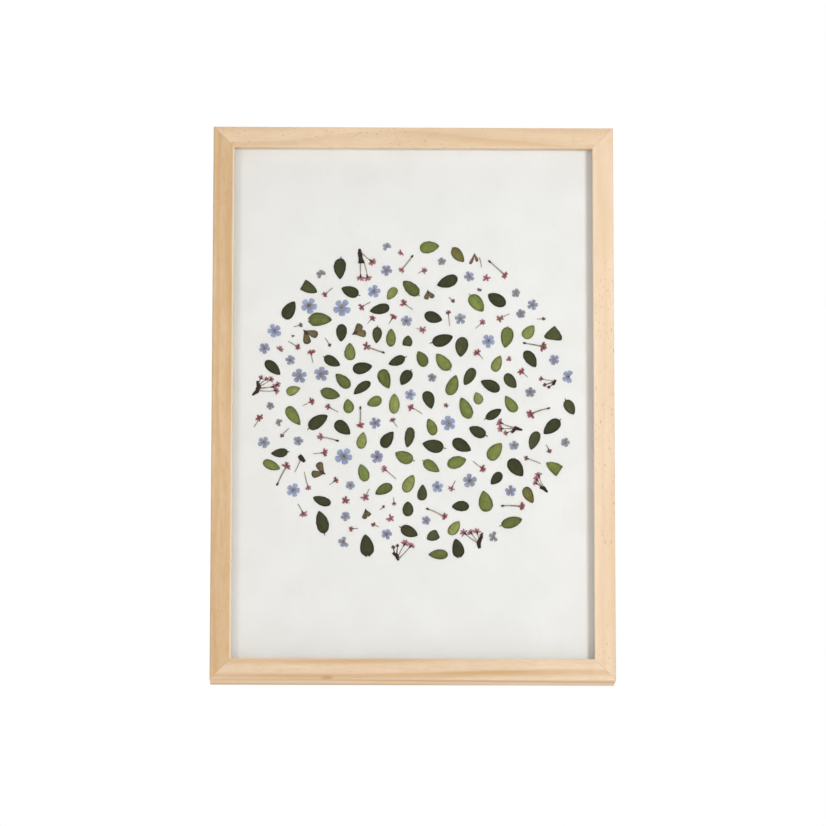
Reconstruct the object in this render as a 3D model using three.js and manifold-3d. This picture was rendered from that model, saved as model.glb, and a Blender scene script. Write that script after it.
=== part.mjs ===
// A wall frame of pale pine with pressed leaves and flowers behind glass.
// Millimetres, +Z up, the glass faces -Y, and the back of the frame lies in the plane Y = 0.
// The origin is the wall hook's point: the root of the hanger's middle notch, on the wall.

import * as THREE from 'three';
import { mergeVertices } from 'three/addons/utils/BufferGeometryUtils.js';
import Module from 'manifold-3d';

const wasm = await Module();
wasm.setup();

// The sheet is A4, and the frame is sized around it
const SHEET_WIDTH = 210;
const SHEET_HEIGHT = 297;
const SHEET_THICKNESS = 0.4;
const EDGE_PLAY = 0.5;

// Frame moulding: a square section with a rebate at the back
const FRAME_DEPTH = 24;
const RAIL_FACE = 11.5;
const REBATE_WALL = 5;
const LIP_DEPTH = 5;
const ARRIS_RADIUS = 0.8;
const ARRIS_STEPS = 3;
const MITRE_GAP = 0.04;

// What lies in the rebate, from the front to the back
const GLASS_THICKNESS = 2;
const SPECIMEN_ROOM = 0.8;
const BOARD_THICKNESS = 2.5;
const SEAT_GAP = 0.1;

// Pressed leaves, stuck to the sheet
const LEAF_THICKNESS = 0.3;
const GLUE_FILM = 0.05;
const LEAF_CURVE_STEPS = 8;

// Flexible steel tabs, driven into the rebate wall behind the board
const TAB_WIDTH = 8.4;
const TAB_THICKNESS = 0.5;
const TAB_REACH = 9;
const TAB_BITE = 3.7;
const TAB_POINT = 2.5;
const SLOT_CLEARANCE = 0.15;
const TAB_GAP = 0.15;
const SIDE_TAB_OFFSET = 75;

// Sawtooth hanger on the board, with two rivets
const HANGER_DROP = 32;
const HANGER_HEIGHT = 9;
const HANGER_STEEL = 0.7;
const HANGER_MIDDLE = 25;
const HANGER_SLOPE = 3;
const HANGER_FOOT = 8;
const HANGER_RISE = 1.8;
const TOOTH_PITCH = 3;
const TOOTH_HEIGHT = 1.6;
const TOOTH_NOTCHES = 7;
const RIVET_RADIUS = 1;
const RIVET_HEAD_RADIUS = 2.1;
const RIVET_HEAD_HEIGHT = 0.9;
const RIVET_CLEARANCE = 0.15;
const RIVET_SIDES = 20;

// Sizes that follow
const FRAME_WIDTH = SHEET_WIDTH + 2 * (EDGE_PLAY + REBATE_WALL);
const FRAME_HEIGHT = SHEET_HEIGHT + 2 * (EDGE_PLAY + REBATE_WALL);
const FRAME_CENTRE_Z = HANGER_DROP - FRAME_HEIGHT / 2;
const GLASS_FRONT_Y = -FRAME_DEPTH + LIP_DEPTH + SEAT_GAP;
const SHEET_FRONT_Y = GLASS_FRONT_Y + GLASS_THICKNESS + SPECIMEN_ROOM;
const BOARD_FRONT_Y = SHEET_FRONT_Y + SHEET_THICKNESS + SEAT_GAP;
const BOARD_BACK_Y = BOARD_FRONT_Y + BOARD_THICKNESS;
const TAB_FRONT_Y = BOARD_BACK_Y + TAB_GAP;
const HANGER_FOOT_Y = BOARD_BACK_Y + SEAT_GAP;
const RIVET_X = HANGER_MIDDLE / 2 + HANGER_SLOPE + HANGER_FOOT / 2;
const RIVET_Z = HANGER_HEIGHT / 2 - TOOTH_HEIGHT;

// Where the round field of specimens is centred, from the sheet's centre
const FIELD_X = -0.3;
const FIELD_Z = 1.4;

// Dark leaves on the sheet: base and tip, from the field's centre, and greatest width
const LEAVES = [
  { base: [-60.6, 65.0], tip: [-52.7, 60.6], width: 6.4 },
  { base: [-70.5, 45.6], tip: [-65.0, 55.4], width: 7.0 },
  { base: [-39.7, 79.8], tip: [-40.0, 68.0], width: 6.8 },
  { base: [-29.9, 59.4], tip: [-39.2, 63.0], width: 6.2 },
  { base: [-12.8, 52.5], tip: [-23.5, 50.0], width: 5.8 },
  { base: [24.7, 69.4], tip: [13.5, 64.7], width: 6.8 },
  { base: [51.2, 53.8], tip: [41.7, 59.8], width: 7.0 },
  { base: [-39.0, 42.8], tip: [-39.4, 32.9], width: 6.0 },
  { base: [-19.3, 41.2], tip: [-20.0, 32.0], width: 5.3 },
  { base: [-48.4, 24.3], tip: [-39.9, 19.6], width: 5.6 },
  { base: [-32.8, 17.2], tip: [-22.2, 19.3], width: 6.6 },
  { base: [-4.3, 24.3], tip: [-13.2, 20.3], width: 5.4 },
  { base: [-1.0, 16.7], tip: [-6.2, 8.8], width: 6.2 },
  { base: [-23.2, 10.3], tip: [-32.3, 3.5], width: 5.2 },
  { base: [-80.9, 21.9], tip: [-72.8, 14.2], width: 5.8 },
  { base: [11.0, 32.4], tip: [22.2, 36.1], width: 6.8 },
  { base: [27.8, 35.8], tip: [26.4, 24.6], width: 7.2 },
  { base: [6.6, 48.4], tip: [16.3, 45.2], width: 6.4 },
  { base: [33.8, 18.2], tip: [28.7, 8.9], width: 5.8 },
  { base: [47.9, 5.9], tip: [37.6, 11.1], width: 6.4 },
  { base: [61.8, 28.0], tip: [67.8, 19.0], width: 6.2 },
  { base: [51.3, 15.2], tip: [56.9, 7.4], width: 6.0 },
  { base: [7.2, 5.3], tip: [10.5, -4.6], width: 6.4 },
  { base: [-56.8, -15.6], tip: [-46.7, -8.4], width: 6.8 },
  { base: [-42.2, -12.0], tip: [-34.2, -18.9], width: 6.8 },
  { base: [-16.4, -26.1], tip: [-10.5, -17.4], width: 6.4 },
  { base: [-0.9, -14.9], tip: [-2.9, -26.1], width: 5.4 },
  { base: [17.0, -26.3], tip: [5.5, -23.9], width: 7.4 },
  { base: [22.2, -22.0], tip: [32.2, -27.7], width: 7.0 },
  { base: [40.1, -19.4], tip: [31.3, -14.9], width: 6.2 },
  { base: [68.9, -17.0], tip: [65.0, -27.2], width: 5.8 },
  { base: [80.8, -10.6], tip: [72.1, -18.3], width: 6.8 },
  { base: [84.3, 0.6], tip: [88.7, -7.4], width: 5.8 },
  { base: [53.2, -32.6], tip: [60.5, -41.9], width: 7.6 },
  { base: [-68.4, -28.7], tip: [-77.6, -29.8], width: 5.0 },
  { base: [-44.7, -57.6], tip: [-54.4, -54.1], width: 5.2 },
  { base: [-48.1, -74.0], tip: [-51.2, -61.6], width: 6.9 },
  { base: [-24.4, -86.0], tip: [-25.8, -74.6], width: 7.6 },
  { base: [-2.5, -64.5], tip: [-2.5, -56.2], width: 6.0 },
  { base: [5.0, -55.6], tip: [5.7, -46.7], width: 5.4 },
  { base: [-6.1, -70.6], tip: [2.9, -75.0], width: 6.2 },
  { base: [31.1, -58.8], tip: [21.7, -59.0], width: 5.8 },
  { base: [48.8, -69.2], tip: [60.1, -65.8], width: 6.2 },
  { base: [25.6, -86.6], tip: [23.7, -76.8], width: 6.6 },
];

// Colours and finishes
const FINISHES = {
  pine: { color: 0xe6cca6, roughness: 0.6, metalness: 0 },
  glass: { color: 0xf4f8f6, roughness: 0.03, metalness: 0, transparent: true, opacity: 0.25 },
  paper: { color: 0xeceae4, roughness: 0.9, metalness: 0 },
  board: { color: 0xa98862, roughness: 0.8, metalness: 0 },
  steel: { color: 0xb4b6b8, roughness: 0.35, metalness: 1 },
  leaf: { color: 0x343c2a, roughness: 0.75, metalness: 0 },
};

function piece(name, geometry, finish) {
  const mesh = new THREE.Mesh(geometry, new THREE.MeshStandardMaterial(FINISHES[finish]));
  mesh.name = name;
  return mesh;
}

// Boolean helpers: a closed three.js geometry to a solid and back
function solidOf(geometry) {
  const bare = geometry.clone();
  bare.deleteAttribute('normal');
  bare.deleteAttribute('uv');
  const merged = mergeVertices(bare, 1e-4);
  return new wasm.Manifold(new wasm.Mesh({
    numProp: 3,
    vertProperties: new Float32Array(merged.attributes.position.array),
    triVerts: new Uint32Array(merged.index.array),
  }));
}

function geometryOf(solid) {
  const mesh = solid.getMesh();
  const geometry = new THREE.BufferGeometry();
  geometry.setAttribute('position', new THREE.BufferAttribute(new Float32Array(mesh.vertProperties), 3));
  geometry.setIndex(new THREE.BufferAttribute(new Uint32Array(mesh.triVerts), 1));
  geometry.computeVertexNormals();
  return geometry;
}

function cutFrom(geometry, cutters) {
  let solid = solidOf(geometry);
  for (const cutter of cutters) {
    solid = solid.subtract(solidOf(cutter));
  }
  return geometryOf(solid);
}

function boxBetween(low, high) {
  const size = high.map((value, axis) => value - low[axis]);
  const middle = high.map((value, axis) => (value + low[axis]) / 2);
  return new THREE.BoxGeometry(...size).translate(...middle);
}

// Moulding section: x runs inward from the outer edge, y runs back from the front face
function mouldingSection() {
  const section = new THREE.Shape();
  section.moveTo(0, FRAME_DEPTH);
  section.lineTo(0, ARRIS_RADIUS);
  section.absarc(ARRIS_RADIUS, ARRIS_RADIUS, ARRIS_RADIUS, Math.PI, 1.5 * Math.PI, false);
  section.lineTo(RAIL_FACE - ARRIS_RADIUS, 0);
  section.absarc(RAIL_FACE - ARRIS_RADIUS, ARRIS_RADIUS, ARRIS_RADIUS, 1.5 * Math.PI, 2 * Math.PI, false);
  section.lineTo(RAIL_FACE, LIP_DEPTH);
  section.lineTo(REBATE_WALL, LIP_DEPTH);
  section.lineTo(REBATE_WALL, FRAME_DEPTH);
  section.closePath();
  return section;
}

// One side of the frame, lying along X with its outer edge up at Z = 0 and both ends mitred
function railGeometry(length, tabOffsets) {
  const geometry = new THREE.ExtrudeGeometry(mouldingSection(), {
    depth: 1,
    bevelEnabled: false,
    curveSegments: ARRIS_STEPS,
  });
  const position = geometry.attributes.position;
  for (let i = 0; i < position.count; i += 1) {
    const inward = position.getX(i);
    const back = position.getY(i);
    const end = position.getZ(i) > 0.5 ? 1 : -1;
    position.setXYZ(i, end * (length / 2 - inward - MITRE_GAP), back - FRAME_DEPTH, -inward);
  }
  const slots = tabOffsets.map((offset) => boxBetween(
    [offset - TAB_WIDTH / 2 - SLOT_CLEARANCE, TAB_FRONT_Y - SLOT_CLEARANCE, -REBATE_WALL - 1],
    [
      offset + TAB_WIDTH / 2 + SLOT_CLEARANCE,
      TAB_FRONT_Y + TAB_THICKNESS + SLOT_CLEARANCE,
      -REBATE_WALL + TAB_BITE + SLOT_CLEARANCE,
    ],
  ));
  return cutFrom(geometry, slots);
}

// A steel tab: a blade with a point in the wood and a round end over the board
function tabGeometry() {
  const half = TAB_WIDTH / 2;
  const roundEnd = -REBATE_WALL - TAB_REACH + half;
  const blade = new THREE.Shape();
  blade.moveTo(-half, roundEnd);
  blade.absarc(0, roundEnd, half, Math.PI, 2 * Math.PI, false);
  blade.lineTo(half, -REBATE_WALL + TAB_BITE - TAB_POINT);
  blade.lineTo(0, -REBATE_WALL + TAB_BITE);
  blade.lineTo(-half, -REBATE_WALL + TAB_BITE - TAB_POINT);
  blade.closePath();
  const geometry = new THREE.ExtrudeGeometry(blade, {
    depth: TAB_THICKNESS,
    bevelEnabled: false,
    curveSegments: 10,
  });
  return geometry.rotateX(Math.PI / 2).translate(0, TAB_FRONT_Y + TAB_THICKNESS, 0);
}

// The four sides, each turned about Y from the top one, with the tabs that sit in it
const SIDES = [
  { name: 'top_rail', turn: 0, length: FRAME_WIDTH, across: FRAME_HEIGHT, tabs: { tab_top: 0 } },
  { name: 'bottom_rail', turn: Math.PI, length: FRAME_WIDTH, across: FRAME_HEIGHT, tabs: { tab_bottom: 0 } },
  {
    name: 'left_stile',
    turn: -Math.PI / 2,
    length: FRAME_HEIGHT,
    across: FRAME_WIDTH,
    tabs: { tab_left_lower: -SIDE_TAB_OFFSET, tab_left_upper: SIDE_TAB_OFFSET },
  },
  {
    name: 'right_stile',
    turn: Math.PI / 2,
    length: FRAME_HEIGHT,
    across: FRAME_WIDTH,
    tabs: { tab_right_upper: -SIDE_TAB_OFFSET, tab_right_lower: SIDE_TAB_OFFSET },
  },
];

function sideGroup({ name, turn, length, across, tabs }) {
  const side = new THREE.Group();
  side.add(piece(name, railGeometry(length, Object.values(tabs)), 'pine'));
  for (const [tabName, offset] of Object.entries(tabs)) {
    const tab = piece(tabName, tabGeometry(), 'steel');
    tab.position.x = offset;
    side.add(tab);
  }
  side.position.set(Math.sin(turn) * across / 2, 0, Math.cos(turn) * across / 2);
  side.rotation.y = turn;
  return side;
}

// Flat layers of sheet size, seen from the front as a rectangle
function layerGeometry(frontY, thickness) {
  return boxBetween(
    [-SHEET_WIDTH / 2, frontY, -SHEET_HEIGHT / 2],
    [SHEET_WIDTH / 2, frontY + thickness, SHEET_HEIGHT / 2],
  );
}

function alongY(radius, fromY, toY, x, z) {
  const cylinder = new THREE.CylinderGeometry(radius, radius, toY - fromY, RIVET_SIDES);
  return cylinder.translate(0, (fromY + toY) / 2, 0).translate(x, 0, z);
}

function boardGeometry() {
  const holes = [-RIVET_X, RIVET_X].map((x) => alongY(
    RIVET_RADIUS + RIVET_CLEARANCE,
    BOARD_FRONT_Y - 1,
    BOARD_BACK_Y + 1,
    x,
    RIVET_Z - FRAME_CENTRE_Z,
  ));
  return cutFrom(layerGeometry(BOARD_FRONT_Y, BOARD_THICKNESS), holes);
}

// Hanger: a strip bent out from the board in the middle, with notches along its lower edge
function hangerGeometry() {
  const halfMiddle = HANGER_MIDDLE / 2;
  const bend = halfMiddle + HANGER_SLOPE;
  const end = bend + HANGER_FOOT;
  const strip = new THREE.Shape();
  strip.moveTo(-end, 0);
  strip.lineTo(-bend, 0);
  strip.lineTo(-halfMiddle, HANGER_RISE);
  strip.lineTo(halfMiddle, HANGER_RISE);
  strip.lineTo(bend, 0);
  strip.lineTo(end, 0);
  strip.lineTo(end, HANGER_STEEL);
  strip.lineTo(bend, HANGER_STEEL);
  strip.lineTo(halfMiddle, HANGER_RISE + HANGER_STEEL);
  strip.lineTo(-halfMiddle, HANGER_RISE + HANGER_STEEL);
  strip.lineTo(-bend, HANGER_STEEL);
  strip.lineTo(-end, HANGER_STEEL);
  strip.closePath();
  const geometry = new THREE.ExtrudeGeometry(strip, { depth: HANGER_HEIGHT, bevelEnabled: false });
  geometry.translate(0, HANGER_FOOT_Y, -TOOTH_HEIGHT);

  const cutters = [];
  for (let k = 0; k < TOOTH_NOTCHES; k += 1) {
    const x = (k - (TOOTH_NOTCHES - 1) / 2) * TOOTH_PITCH;
    const notch = new THREE.Shape();
    notch.moveTo(x - TOOTH_PITCH, -2 * TOOTH_HEIGHT - 0.2);
    notch.lineTo(x + TOOTH_PITCH, -2 * TOOTH_HEIGHT - 0.2);
    notch.lineTo(x, 0);
    notch.closePath();
    const prism = new THREE.ExtrudeGeometry(notch, { depth: FRAME_DEPTH, bevelEnabled: false });
    cutters.push(prism.rotateX(Math.PI / 2));
  }
  for (const x of [-RIVET_X, RIVET_X]) {
    cutters.push(alongY(RIVET_RADIUS + RIVET_CLEARANCE, -FRAME_DEPTH, 0, x, RIVET_Z));
  }
  return cutFrom(geometry, cutters);
}

// Rivet: a shank through the hanger's foot and the board, with a domed head on the foot
function rivetGeometry() {
  const headY = HANGER_FOOT_Y + HANGER_STEEL + SEAT_GAP;
  const profile = [
    new THREE.Vector2(0, BOARD_FRONT_Y + SEAT_GAP),
    new THREE.Vector2(RIVET_RADIUS, BOARD_FRONT_Y + SEAT_GAP),
    new THREE.Vector2(RIVET_RADIUS, headY),
    new THREE.Vector2(RIVET_HEAD_RADIUS, headY),
    new THREE.Vector2(RIVET_HEAD_RADIUS * 0.75, headY + RIVET_HEAD_HEIGHT * 0.75),
    new THREE.Vector2(0, headY + RIVET_HEAD_HEIGHT),
  ];
  return new THREE.LatheGeometry(profile, RIVET_SIDES);
}

// A pressed leaf: a round base, widest about a third of the way up, and a pointed tip
function leafMesh(name, { base, tip, width }) {
  const along = [tip[0] - base[0], tip[1] - base[1]];
  const length = Math.hypot(...along);
  const bulge = (2 / 3) * width;
  const shoulder = 0.55 * length;
  const outline = new THREE.Shape();
  outline.moveTo(0, 0);
  outline.bezierCurveTo(0, -bulge, shoulder, -bulge, length, 0);
  outline.bezierCurveTo(shoulder, bulge, 0, bulge, 0, 0);
  const geometry = new THREE.ExtrudeGeometry(outline, {
    depth: LEAF_THICKNESS,
    bevelEnabled: false,
    curveSegments: LEAF_CURVE_STEPS,
  });
  const leaf = piece(name, geometry, 'leaf');
  leaf.position.set(FIELD_X + base[0], SHEET_FRONT_Y - GLUE_FILM, FIELD_Z + base[1]);
  leaf.rotation.set(Math.PI / 2, 0, Math.atan2(along[1], along[0]));
  return leaf;
}

// The frame and its contents, around the sheet's centre
const contents = new THREE.Group();
contents.position.z = FRAME_CENTRE_Z;
for (const side of SIDES) {
  contents.add(sideGroup(side));
}
contents.add(piece('glass_pane', layerGeometry(GLASS_FRONT_Y, GLASS_THICKNESS), 'glass'));
contents.add(piece('flower_sheet', layerGeometry(SHEET_FRONT_Y, SHEET_THICKNESS), 'paper'));
contents.add(piece('backing_board', boardGeometry(), 'board'));
LEAVES.forEach((leaf, index) => {
  contents.add(leafMesh(`leaf_${String(index + 1).padStart(2, '0')}`, leaf));
});

// The hanger and its rivets, around the hook's point
const hanging = new THREE.Group();
hanging.add(piece('sawtooth_hanger', hangerGeometry(), 'steel'));
for (const [name, x] of [['hanger_rivet_left', -RIVET_X], ['hanger_rivet_right', RIVET_X]]) {
  const rivet = piece(name, rivetGeometry(), 'steel');
  rivet.position.set(x, 0, RIVET_Z);
  hanging.add(rivet);
}

const pressedFlowerFrame = new THREE.Group();
pressedFlowerFrame.add(contents, hanging);

export default pressedFlowerFrame;
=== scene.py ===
# Looks of the pressed flower frame: pine, glass, paper, steel and the pressed plants.
import math
import random

import bmesh
import bpy
import numpy as np
from mathutils import Matrix, Vector


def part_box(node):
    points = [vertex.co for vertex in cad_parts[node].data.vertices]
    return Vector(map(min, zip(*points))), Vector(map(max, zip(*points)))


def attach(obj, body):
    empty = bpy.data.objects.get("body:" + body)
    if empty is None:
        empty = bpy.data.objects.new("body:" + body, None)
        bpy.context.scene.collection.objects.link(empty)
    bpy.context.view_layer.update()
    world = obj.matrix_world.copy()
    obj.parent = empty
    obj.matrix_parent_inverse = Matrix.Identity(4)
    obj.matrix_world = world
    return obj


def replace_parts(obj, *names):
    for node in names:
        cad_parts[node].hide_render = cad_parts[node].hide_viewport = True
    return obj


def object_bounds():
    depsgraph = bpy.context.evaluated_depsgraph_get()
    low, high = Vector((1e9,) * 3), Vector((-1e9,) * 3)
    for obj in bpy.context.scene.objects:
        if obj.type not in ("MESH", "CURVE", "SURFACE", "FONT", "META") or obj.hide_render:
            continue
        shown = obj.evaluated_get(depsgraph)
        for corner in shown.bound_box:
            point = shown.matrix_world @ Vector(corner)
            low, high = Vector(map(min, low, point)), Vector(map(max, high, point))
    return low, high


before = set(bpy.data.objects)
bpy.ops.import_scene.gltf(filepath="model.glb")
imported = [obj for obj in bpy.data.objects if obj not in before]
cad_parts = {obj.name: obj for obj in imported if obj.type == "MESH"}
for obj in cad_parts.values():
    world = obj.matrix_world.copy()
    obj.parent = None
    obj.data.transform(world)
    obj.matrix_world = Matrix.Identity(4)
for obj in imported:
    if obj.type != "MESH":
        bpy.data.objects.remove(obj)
cad_low, cad_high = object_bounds()

MM = 0.001
SEED = 7
draw = random.Random(SEED)

# Where the sheet lies, and the field's centre on it, from which specimens are placed in millimetres
FIELD_SHIFT = (-0.3, 1.4)
sheet_low, sheet_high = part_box("flower_sheet")
SHEET_FRONT_Y = sheet_low.y
SHEET_CENTRE_X = (sheet_low.x + sheet_high.x) / 2
SHEET_CENTRE_Z = (sheet_low.z + sheet_high.z) / 2
FIELD_CENTRE_X = SHEET_CENTRE_X + FIELD_SHIFT[0] * MM
FIELD_CENTRE_Z = SHEET_CENTRE_Z + FIELD_SHIFT[1] * MM

# The opening's half size and middle, across the stiles and across the rails
OPENING = {
    "X": (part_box("right_stile")[0].x, 0.0),
    "Z": (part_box("top_rail")[0].z - SHEET_CENTRE_Z, SHEET_CENTRE_Z),
}

# Camera, from the middle of the frame's front face, in metres and degrees
CAMERA_PLACE = (-0.0437, -3.0, -0.5574)
CAMERA_TARGET = (-0.0001, 0.0, -0.0068)
CAMERA_ROLL = 0.065
CAMERA_LENS = 242.5
CAMERA_SENSOR = 36.0

# Studio
FLOOR_DROP = 1.3
FLOOR_SIZE = 60.0
WORLD_LIGHT = 0.27
OVERHEAD_POWER = 1.4
OVERHEAD_SPREAD = 60
WARM = (1.0, 0.88, 0.79)
HONEY = (1.0, 0.82, 0.63)
COOL = (0.91, 0.96, 1.0)
NEUTRAL = (1.0, 1.0, 1.0)


def srgb(red, green, blue):
    """A colour as read on a screen, from 0 to 255, as linear light."""
    def linear(value):
        part = value / 255
        return part / 12.92 if part <= 0.04045 else ((part + 0.055) / 1.055) ** 2.4
    return (linear(red), linear(green), linear(blue), 1.0)


# Colours of dried plants
TONES = {
    "dark": srgb(50, 55, 29),
    "moss": srgb(67, 72, 42),
    "forest": srgb(88, 97, 48),
    "green": srgb(107, 121, 62),
    "light": srgb(125, 134, 77),
    "olive": srgb(105, 103, 57),
    "brown": srgb(96, 87, 58),
    "blue": srgb(148, 162, 197),
    "violet": srgb(140, 147, 178),
    "slate": srgb(144, 154, 176),
    "grey": srgb(140, 139, 152),
    "crimson": srgb(146, 74, 83),
    "rose": srgb(164, 106, 114),
    "rust": srgb(126, 92, 88),
    "stem": srgb(168, 158, 143),
    "calyx": srgb(64, 46, 40),
    "twig": srgb(44, 32, 26),
    "eye": srgb(164, 146, 120),
}
BLUE_THROAT = srgb(128, 131, 152)
CRIMSON_THROAT = srgb(116, 50, 58)
PLANT_GLOSS = 0.12

# Colours that all rails share
# Painted highlight: the pale colour laid along each rail's inner arris, where the rounded edge catches the
# lamps
ARRIS_HIGHLIGHT_PINE = srgb(247, 230, 203)
RESIN = srgb(158, 114, 72)
KNOT = srgb(172, 124, 80)

# How far a growth ring leans with depth, and how dark it is at each share of its width
RING_SLANT = 0.45
RING_DARKNESS = [(0.0, 0.0), (0.36, 0.06), (0.62, 0.85), (0.78, 1.0), (0.88, 0.25), (1.0, 0.0)]

# Pine rails, each with its own grain and colours, in metres: the left stile darkest and the right stile
# palest, and a painted highlight along each inner arris, strongest on the left stile
RAILS = {
    "top_rail": dict(
        grain_axis="X", pale=srgb(237, 213, 182), late=srgb(216, 180, 139),
        ring_pitch=0.009, ring_depth=0.5, wander=3.2, mottling=0.32,
        shift=(0.31, 0.013, 0.02), run_out=(0.0, 0.1, 0.003), arris_highlight=0.1, flecks=0.6,
    ),
    "bottom_rail": dict(
        grain_axis="X", pale=srgb(243, 222, 195), late=srgb(210, 171, 123),
        ring_pitch=0.0085, ring_depth=1.0, wander=0.45, mottling=0.26,
        shift=(0.77, -0.0017, 0.05), run_out=(-0.06, 0.1, -0.0032), arris_highlight=0.2, flecks=0.1,
        knot=(-0.0466, -0.2755, 0.0024),
    ),
    "left_stile": dict(
        grain_axis="Z", pale=srgb(229, 200, 162), late=srgb(207, 167, 118),
        ring_pitch=0.008, ring_depth=0.62, wander=3.2, mottling=0.45,
        shift=(0.21, 0.01, 0.07), run_out=(-0.2, 0.0, 0.002), arris_highlight=0.75, flecks=0.5,
    ),
    "right_stile": dict(
        grain_axis="Z", pale=srgb(244, 221, 192), late=srgb(226, 194, 156),
        ring_pitch=0.0085, ring_depth=0.45, wander=3.2, mottling=0.22,
        shift=(0.58, 0.023, 0.09), run_out=(-0.2, 0.0, 0.002), arris_highlight=0.5, flecks=0.6,
    ),
}

# How thick pressed plants are, and the film of glue under them, in millimetres
LEAF_THICKNESS = 0.24
PETAL_THICKNESS = 0.12
GLUE_FILM = 0.02

# Dark leaves that are solids too: base, tip, width, tone, any stalk, and any share cut off at the base
SOLID_LEAVES = [
    ((-60.6, 65.0), (-52.7, 60.6), 6.4, "moss", 0, 0.3),
    ((-70.5, 45.6), (-65.0, 55.4), 7.0, "dark"),
    ((-39.7, 79.8), (-40.0, 68.0), 6.8, "dark", 1.0),
    ((-29.9, 59.4), (-39.2, 63.0), 6.2, "dark", 1.2),
    ((-12.8, 52.5), (-23.5, 50.0), 5.8, "dark"),
    ((24.7, 69.4), (13.5, 64.7), 6.8, "dark"),
    ((51.2, 53.8), (41.7, 59.8), 7.0, "dark"),
    ((-39.0, 42.8), (-39.4, 32.9), 6.0, "dark"),
    ((-19.3, 41.2), (-20.0, 32.0), 5.3, "moss", 0.8),
    ((-48.4, 24.3), (-39.9, 19.6), 5.6, "dark", 0.8),
    ((-32.8, 17.2), (-22.2, 19.3), 6.6, "dark"),
    ((-4.3, 24.3), (-13.2, 20.3), 5.4, "dark", 1.3),
    ((-1.0, 16.7), (-6.2, 8.8), 6.2, "dark", 1.0),
    ((-23.2, 10.3), (-32.3, 3.5), 5.2, "dark"),
    ((-80.9, 21.9), (-72.8, 14.2), 5.8, "dark"),
    ((11.0, 32.4), (22.2, 36.1), 6.8, "dark", 1.6),
    ((27.8, 35.8), (26.4, 24.6), 7.2, "moss"),
    ((6.6, 48.4), (16.3, 45.2), 6.4, "dark"),
    ((33.8, 18.2), (28.7, 8.9), 5.8, "moss"),
    ((47.9, 5.9), (37.6, 11.1), 6.4, "dark"),
    ((61.8, 28.0), (67.8, 19.0), 6.2, "dark"),
    ((51.3, 15.2), (56.9, 7.4), 6.0, "moss"),
    ((7.2, 5.3), (10.5, -4.6), 6.4, "dark"),
    ((-56.8, -15.6), (-46.7, -8.4), 6.8, "dark", 1.2),
    ((-42.2, -12.0), (-34.2, -18.9), 6.8, "dark"),
    ((-16.4, -26.1), (-10.5, -17.4), 6.4, "dark"),
    ((-0.9, -14.9), (-2.9, -26.1), 5.4, "moss"),
    ((17.0, -26.3), (5.5, -23.9), 7.4, "dark", 1.6),
    ((22.2, -22.0), (32.2, -27.7), 7.0, "dark"),
    ((40.1, -19.4), (31.3, -14.9), 6.2, "dark", 1.4),
    ((68.9, -17.0), (65.0, -27.2), 5.8, "moss"),
    ((80.8, -10.6), (72.1, -18.3), 6.8, "dark", 1.1),
    ((84.3, 0.6), (88.7, -7.4), 5.8, "moss", 1.2),
    ((53.2, -32.6), (60.5, -41.9), 7.6, "dark"),
    ((-68.4, -28.7), (-77.6, -29.8), 5.0, "dark", 1.0),
    ((-44.7, -57.6), (-54.4, -54.1), 5.2, "dark"),
    ((-48.1, -74.0), (-51.2, -61.6), 6.9, "dark", 1.3),
    ((-24.4, -86.0), (-25.8, -74.6), 7.6, "dark"),
    ((-2.5, -64.5), (-2.5, -56.2), 6.0, "moss"),
    ((5.0, -55.6), (5.7, -46.7), 5.4, "moss"),
    ((-6.1, -70.6), (2.9, -75.0), 6.2, "dark", 1.3),
    ((31.1, -58.8), (21.7, -59.0), 5.8, "dark"),
    ((48.8, -69.2), (60.1, -65.8), 6.2, "forest", 1.3),
    ((25.6, -86.6), (23.7, -76.8), 6.6, "dark"),
]

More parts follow.
